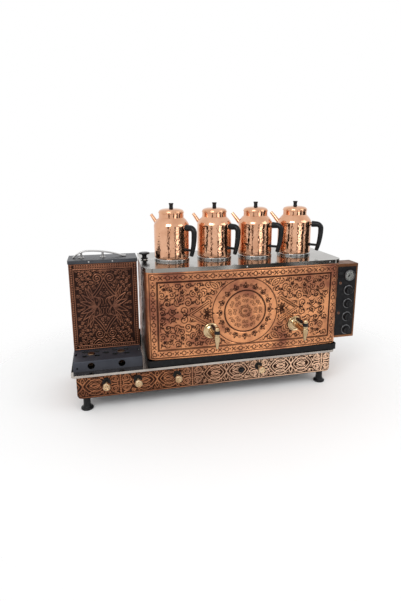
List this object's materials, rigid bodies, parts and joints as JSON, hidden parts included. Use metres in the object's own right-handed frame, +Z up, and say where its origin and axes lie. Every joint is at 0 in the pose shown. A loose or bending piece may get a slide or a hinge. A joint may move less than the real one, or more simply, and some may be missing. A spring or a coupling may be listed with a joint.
{
  "type": "tea stove samovar",
  "caption": "Copper-clad tea stove: a boiler tank with taps carries teapots, beside a coffee shelf, a column and a control box, on a gas chassis with feet.",
  "frame": {"origin": "on the floor under the middle of the whole stove's box", "axes": "+X to the right as seen from the taps, +Y to the back, +Z up"},
  "size_m": [1.252, 0.4816, 0.8105],
  "materials": {
    "chassis_steel": "dark painted sheet",
    "base_copper": "embossed copper, aged in its grooves",
    "deck_steel": "brushed stainless sheet",
    "foot_black": "black enamel",
    "pipe_brass": "plain brass fittings",
    "trim_black": "black trim",
    "burner_iron": "heat-stained burner metal",
    "fire_box_black": "black heat-proof paint",
    "shelf_steel": "polished stainless sheet with fine scratches",
    "column_copper": "embossed dark copper",
    "tank_copper": "embossed bright copper with dark grooves",
    "bright_steel": "bright steel",
    "tap_brass": "warm polished brass",
    "knob_brass": "worn polished brass",
    "handle_black": "black moulded plastic",
    "pot_copper": "polished hammered rose copper",
    "control_copper": "copper-brown sheet",
    "panel_black": "black panel",
    "gauge_glass": "clear",
    "needle_black": "black",
    "lamp_amber": "amber lens",
    "inlet_black": "black rubber"
  },
  "bodies": {
    "stove": {"base_chassis": "chassis_steel", "base_cladding": "base_copper", "top_deck": "deck_steel", "feet": "foot_black", "gas_manifold": "pipe_brass", "gas_valves": "pipe_brass", "valve_bezels": "trim_black", "igniter_body": "trim_black", "gas_burners": "burner_iron", "fire_box": "fire_box_black", "coffee_shelf": "shelf_steel", "column_casing": "column_copper", "column_top": "shelf_steel", "column_handle": "bright_steel", "gas_inlet": "inlet_black", "tank_cladding": "tank_copper", "water_vessel": "shelf_steel", "tank_top": "shelf_steel", "pot_seats": "shelf_steel", "tap_rosettes": "tap_brass", "tap_bodies": "tap_brass", "heating_element": "bright_steel", "control_casing": "control_copper", "control_panel": "panel_black", "gauge_body": "bright_steel", "gauge_glass": "gauge_glass", "thermostat_bodies": "bright_steel", "indicator_lamps": "lamp_amber", "cover_screws": "bright_steel"},
    "gas_knob_1_body": {"gas_knob_1": "knob_brass"},
    "gas_knob_2_body": {"gas_knob_2": "knob_brass"},
    "gas_knob_3_body": {"gas_knob_3": "knob_brass"},
    "gas_knob_4_body": {"gas_knob_4": "knob_brass"},
    "igniter_plunger": {"igniter_button": "trim_black"},
    "switch_rocker": {"power_switch": "handle_black"},
    "filler_lid": {"filler_cap": "shelf_steel", "filler_knob": "handle_black"},
    "lever_left": {"tap_lever_left": "handle_black"},
    "lever_right": {"tap_lever_right": "handle_black"},
    "needle": {"gauge_needle": "needle_black"},
    "thermostat_1": {"thermostat_knob_1": "handle_black"},
    "thermostat_2": {"thermostat_knob_2": "handle_black"},
    "thermostat_3": {"thermostat_knob_3": "handle_black"},
    "thermostat_4": {"thermostat_knob_4": "handle_black"},
    "pot_1": {"pot_body_1": "pot_copper", "pot_handle_1": "handle_black"},
    "lid_1": {"pot_lid_1": "pot_copper", "lid_knob_1": "handle_black"},
    "pot_2": {"pot_body_2": "pot_copper", "pot_handle_2": "handle_black"},
    "lid_2": {"pot_lid_2": "pot_copper", "lid_knob_2": "handle_black"},
    "pot_3": {"pot_body_3": "pot_copper", "pot_handle_3": "handle_black"},
    "lid_3": {"pot_lid_3": "pot_copper", "lid_knob_3": "handle_black"},
    "pot_4": {"pot_body_4": "pot_copper", "pot_handle_4": "handle_black"},
    "lid_4": {"pot_lid_4": "pot_copper", "lid_knob_4": "handle_black"}
  },
  "joints": [
    {"name": "gas_knob_1_turn", "type": "hinge", "parent": "stove", "child": "gas_knob_1_body", "pos_m": [-0.491, -0.12746, 0.118], "axis": [0, -1, 0], "range_deg": [0, 180]},
    {"name": "gas_knob_2_turn", "type": "hinge", "parent": "stove", "child": "gas_knob_2_body", "pos_m": [-0.366, -0.12746, 0.118], "axis": [0, -1, 0], "range_deg": [0, 180]},
    {"name": "gas_knob_3_turn", "type": "hinge", "parent": "stove", "child": "gas_knob_3_body", "pos_m": [-0.205, -0.12746, 0.118], "axis": [0, -1, 0], "range_deg": [0, 180]},
    {"name": "gas_knob_4_turn", "type": "hinge", "parent": "stove", "child": "gas_knob_4_body", "pos_m": [0.152, -0.12746, 0.118], "axis": [0, -1, 0], "range_deg": [0, 180]},
    {"name": "igniter_press", "type": "slide", "parent": "stove", "child": "igniter_plunger", "axis": [0, 1, 0], "range_m": [0, 0.004], "stiffness_N_per_m": 400},
    {"name": "switch_rock", "type": "hinge", "parent": "stove", "child": "switch_rocker", "pos_m": [0.542, -0.09146, 0.494], "axis": [1, 0, 0], "range_deg": [0, 14]},
    {"name": "filler_lift", "type": "slide", "parent": "stove", "child": "filler_lid", "axis": [0, 0, 1], "range_m": [0, 0.12]},
    {"name": "tap_left_turn", "type": "hinge", "parent": "stove", "child": "lever_left", "pos_m": [-0.06, -0.22884, 0.32], "axis": [0, 0, 1], "range_deg": [0, 90]},
    {"name": "tap_right_turn", "type": "hinge", "parent": "stove", "child": "lever_right", "pos_m": [0.314, -0.22784, 0.32], "axis": [0, 0, 1], "range_deg": [0, 90]},
    {"name": "needle_turn", "type": "hinge", "parent": "stove", "child": "needle", "pos_m": [0.584, -0.09446, 0.489], "axis": [0, 1, 0], "range_deg": [0, 270]},
    {"name": "thermostat_1_turn", "type": "hinge", "parent": "stove", "child": "thermostat_1", "pos_m": [0.584, -0.09146, 0.235], "axis": [0, 1, 0], "range_deg": [0, 270]},
    {"name": "thermostat_2_turn", "type": "hinge", "parent": "stove", "child": "thermostat_2", "pos_m": [0.584, -0.09146, 0.297], "axis": [0, 1, 0], "range_deg": [0, 270]},
    {"name": "thermostat_3_turn", "type": "hinge", "parent": "stove", "child": "thermostat_3", "pos_m": [0.584, -0.09146, 0.359], "axis": [0, 1, 0], "range_deg": [0, 270]},
    {"name": "thermostat_4_turn", "type": "hinge", "parent": "stove", "child": "thermostat_4", "pos_m": [0.584, -0.09146, 0.421], "axis": [0, 1, 0], "range_deg": [0, 270]},
    {"name": "pot_1_lift", "type": "slide", "parent": "stove", "child": "pot_1", "axis": [0, 0, 1], "range_m": [0, 0.25]},
    {"name": "lid_1_lift", "type": "slide", "parent": "pot_1", "child": "lid_1", "axis": [0, 0, 1], "range_m": [0, 0.08]},
    {"name": "pot_2_lift", "type": "slide", "parent": "stove", "child": "pot_2", "axis": [0, 0, 1], "range_m": [0, 0.25]},
    {"name": "lid_2_lift", "type": "slide", "parent": "pot_2", "child": "lid_2", "axis": [0, 0, 1], "range_m": [0, 0.08]},
    {"name": "pot_3_lift", "type": "slide", "parent": "stove", "child": "pot_3", "axis": [0, 0, 1], "range_m": [0, 0.25]},
    {"name": "lid_3_lift", "type": "slide", "parent": "pot_3", "child": "lid_3", "axis": [0, 0, 1], "range_m": [0, 0.08]},
    {"name": "pot_4_lift", "type": "slide", "parent": "stove", "child": "pot_4", "axis": [0, 0, 1], "range_m": [0, 0.25]},
    {"name": "lid_4_lift", "type": "slide", "parent": "pot_4", "child": "lid_4", "axis": [0, 0, 1], "range_m": [0, 0.08]}
  ]
}
